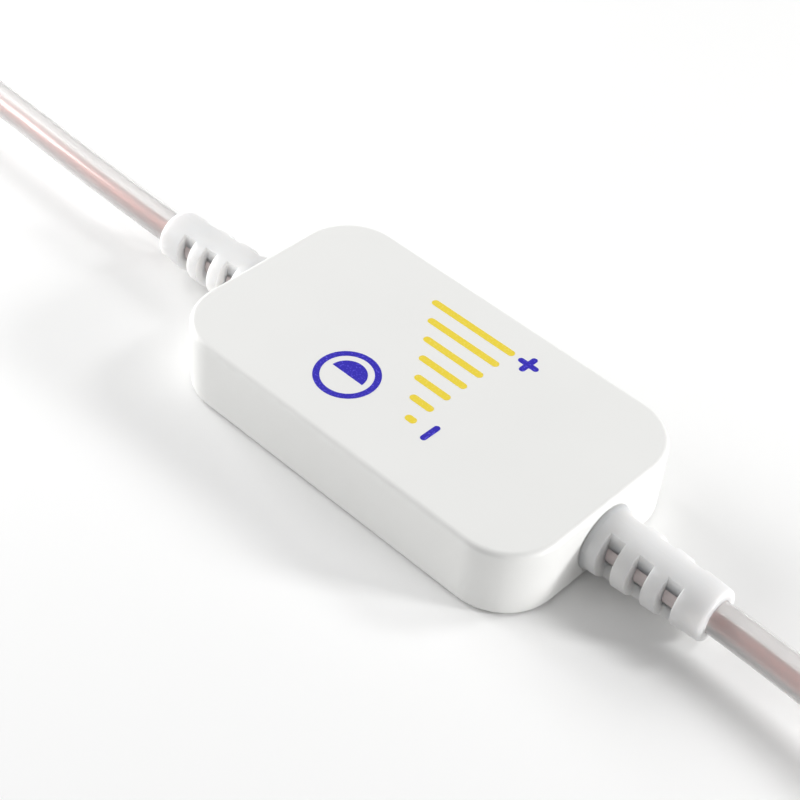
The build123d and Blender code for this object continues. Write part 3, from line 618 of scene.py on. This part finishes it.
disc_centre = (-8.6, 7.6)
disc_radius = 5.2
line_width = 1.05
last_angle = 359
printed_shape(
    "printed_ring",
    [
        arc(disc_centre, disc_radius, 0, last_angle, 72),
        arc(disc_centre, disc_radius - line_width, 0, last_angle, 72),
    ],
    blue_ink,
)
printed_shape("printed_half_disc", [arc(disc_centre, disc_radius - 2 * line_width, -90, 90)], blue_ink)
sign_rise = -9.3
sign_reach = 1.4
minus_at = -8.4
plus_at = 13.2
printed_shape(
    "printed_minus",
    [stroke((minus_at - sign_reach, sign_rise), (minus_at + sign_reach, sign_rise), line_width)],
    blue_ink,
)
plus_outline = []
for quarter in range(4):
    facing = math.radians(90 * quarter)
    ahead = Vector((math.cos(facing), math.sin(facing)))
    aside = Vector((-math.sin(facing), math.cos(facing)))
    middle = Vector((plus_at, sign_rise))
    head = middle + ahead * sign_reach
    plus_outline += arc(head, line_width / 2, 90 * quarter - 90, 90 * quarter + 90, 12)
    plus_outline.append(tuple(middle + (ahead + aside) * line_width / 2))
printed_shape("printed_plus", [plus_outline], blue_ink)


# Strain reliefs and connector bodies. Soft white PVC, moulded straight over the leads, with a
# little more gloss than the housing.
soft_pvc = moulded_plastic("white_soft_pvc", "#EAE9E8", "#E6E5E4", 0.36, 0.6 * MM, 0.006 * MM)
soft_shader = soft_pvc.node_tree.nodes["Principled BSDF"]
light_depth = 5 * MM
soft_shader.inputs["Subsurface Weight"].default_value = 1.0
soft_shader.inputs["Subsurface Radius"].default_value = (1.0, 0.95, 0.9)
soft_shader.inputs["Subsurface Scale"].default_value = light_depth
wear(
    cad["output_strain_relief"],
    cad["input_strain_relief"],
    cad["plug_body"],
    cad["socket_body"],
    soft_pvc,
)


# Feet. Four grey silicone-rubber discs, pressed into round recesses of the base. They hold the
# housing a little off the table, and keep it from sliding when it is pressed.
foot_rubber = moulded_plastic("grey_silicone_rubber", "#5E5F61", "#525355", 0.7, 0.2 * MM, 0.01 * MM)
wear(cad["rubber_feet"], foot_rubber)


# Cord clamps. Natural nylon, moulded, slightly waxy and yellowish beside the housing. Each is
# screwed down over the groove of its strain relief.
clamp_nylon = moulded_plastic("natural_nylon", "#E6E3D6", "#DEDBCD", 0.45, 0.5 * MM, 0.005 * MM)
wear(cad["output_cord_clamp"], cad["input_cord_clamp"], clamp_nylon)


# Metal parts. Zinc-plated screws, drawn spring wire, nickel-plated contacts and tinned leads. Each
# metal has its own colour, and the fine marks of how it was drawn, stamped or plated.
def worked_metal(name, light_hex, dark_hex, roughness, grain, stretch=(1, 1, 1)):
    """A worked or plated metal, its fine marks drawn out along one axis."""
    material, tree, shader = new_material(name)
    place = add_node(tree, "ShaderNodeTexCoord")
    drawn = add_node(tree, "ShaderNodeMapping", {"Scale": stretch}, {"Vector": place.outputs["Object"]})
    marks = add_node(
        tree,
        "ShaderNodeTexNoise",
        {"Scale": 1 / grain, "Detail": 4.0},
        {"Vector": drawn.outputs[0]},
    )
    tint(tree, shader, dark_hex, light_hex, marks.outputs[0])
    dull(tree, shader, roughness - 0.08, roughness + 0.08, marks.outputs[0])
    emboss(tree, shader, 0.2, 0.003 * MM, marks.outputs[0])
    shader.inputs["Metallic"].default_value = 1.0
    return material


zinc = worked_metal("zinc_plated_steel", "#C9CCD0", "#B4B8BE", 0.32, 0.3 * MM)
spring_steel = worked_metal("drawn_spring_steel", "#A6A6A6", "#8C8C8E", 0.3, 0.2 * MM, (1, 1, 0.3))
nickel = worked_metal("nickel_plate", "#D6D0C6", "#C6C0B6", 0.18, 0.6 * MM)
stamped_steel = worked_metal(
    "stamped_stainless_steel", "#C4C4C4", "#B0B0B0", 0.28, 0.15 * MM, (0.1, 1, 1)
)
tin = worked_metal("matt_tin_plate", "#CFCFCB", "#BDBDB8", 0.42, 0.15 * MM)
solder = worked_metal("tin_solder", "#D8D8D6", "#BFC0C0", 0.2, 0.5 * MM)
can_aluminium = worked_metal("drawn_aluminium", "#D4D6D8", "#C4C6C8", 0.28, 0.2 * MM, (1, 1, 0.15))
wear(cad["clamp_screws"], cad["board_screws"], zinc)
wear(cad["plug_barrel"], cad["plug_contact"], cad["socket_pin"], cad["socket_contact"], nickel)
wear(cad["switch_top_plate"], stamped_steel)
wear(
    cad["switch_terminals"],
    cad["controller_pins"],
    cad["transistor_leads"],
    cad["regulator_leads"],
    cad["diode_tabs"],
    cad["chip_end_caps"],
    tin,
)
wear(cad["solder_joints"], solder)
wear(cad["storage_capacitor"], can_aluminium)


# Jacket ends. The same clear PVC jackets where they run on inside the strain reliefs and show in the
# slots. Here they get a lighter, less clear copy of the jacket material: painted bounce light from the
# white ribs round them, which makes them look milkier in the shaded slots.
pvc_painted_bounce_light = clear_pvc("clear_pvc_jacket_painted_bounce_light", "#F4E6E5", 0.3)
wear(cad["output_jacket_end"], cad["input_jacket_end"], pvc_painted_bounce_light)


def springing(name, node, metal):
    """A copy of a CAD node's shape, as a piece of its own on the base, in place of the hidden node."""
    piece = bpy.data.objects.new(name, cad[node].data.copy())
    piece.data.transform(cad[node].matrix_world)
    scene.collection.objects.link(piece)
    wear(piece, metal)
    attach(piece, "base")
    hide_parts(node)
    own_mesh(piece)


springing("coil_springs", "return_springs", spring_steel)
springing("snap_dome", "switch_dome", stamped_steel)


# Cores inside the housing and the strain reliefs. The same two cores, here each in its own thin
# clear sheath, which the light makes pale and a little milky.
def sheathed_wire(name, light_hex, dark_hex):
    """Fine strands under a thin clear sheath: half metal, half milky plastic to the eye."""
    material, tree, shader = new_material(name)
    place = add_node(tree, "ShaderNodeTexCoord")
    lay_length = 4.5 * MM
    strands = add_node(
        tree,
        "ShaderNodeTexWave",
        {"Scale": 1 / lay_length, "Distortion": 1.5, "Detail": 1.0},
        {"Vector": place.outputs["Object"]},
    )
    tint(tree, shader, dark_hex, light_hex, strands.outputs["Fac"])
    shader.inputs["Metallic"].default_value = 0.4
    shader.inputs["Roughness"].default_value = 0.4
    shader.inputs["Coat Weight"].default_value = 1.0
    shader.inputs["Coat Roughness"].default_value = 0.15
    return material


sheathed_copper = sheathed_wire("copper_wire_in_clear_sheath", "#C4ACA7", "#A98F89")
sheathed_silver = sheathed_wire("tinned_wire_in_clear_sheath", "#BAB5B3", "#A29C9A")
wear(cad["output_copper_core"], cad["input_copper_core"], sheathed_copper)
wear(cad["output_silver_core"], cad["input_silver_core"], sheathed_silver)


# Circuit board. Glass-epoxy laminate under a green solder mask, with long parallel copper tracks
# just showing as paler lines.
def solder_mask():
    """Glossy green resist over copper tracks on a fibreglass board."""
    material, tree, shader = new_material("green_solder_mask")
    place = add_node(tree, "ShaderNodeTexCoord")
    tracks = add_node(
        tree,
        "ShaderNodeTexBrick",
        {
            "Scale": 1.0,
            "Color1": linear("#0E5A34"),
            "Color2": linear("#0C5230"),
            "Mortar": linear("#1D7145"),
            "Mortar Size": 0.16 * MM,
            "Brick Width": 17 * MM,
            "Row Height": 1.3 * MM,
            "offset": 0.37,
        },
        {"Vector": place.outputs["Object"]},
    )
    tree.links.new(tracks.outputs["Color"], shader.inputs["Base Color"])
    emboss(tree, shader, 0.4, 0.03 * MM, tracks.outputs["Fac"])
    shader.inputs["Roughness"].default_value = 0.25
    return material


wear(cad["circuit_board"], solder_mask())


# Components and insulators. Black moulded epoxy and plastic, fired tan ceramic and dark glazed
# resistors: the parts on the board, and the insulating inserts of the plug and the socket.
chip_epoxy = moulded_plastic("black_chip_epoxy", "#2A2A2C", "#222224", 0.55, 0.08 * MM, 0.01 * MM)
black_plastic = moulded_plastic("black_moulded_nylon", "#232324", "#1C1C1D", 0.5, 0.3 * MM, 0.006 * MM)
tan_ceramic = moulded_plastic("tan_fired_ceramic", "#B58E62", "#A07A50", 0.5, 0.1 * MM, 0.008 * MM)
resistor_glaze = moulded_plastic("dark_resistor_glaze", "#26262A", "#1E1E22", 0.25, 0.4 * MM, 0.003 * MM)
wear(
    cad["controller_chip"],
    cad["power_transistor"],
    cad["voltage_regulator"],
    cad["protection_diode"],
    chip_epoxy,
)
wear(
    cad["switch_case"],
    cad["switch_plunger"],
    cad["capacitor_base"],
    cad["plug_insulator"],
    cad["socket_insert"],
    black_plastic,
)
wear(cad["ceramic_capacitors"], tan_ceramic)
wear(cad["chip_resistors"], resistor_glaze)
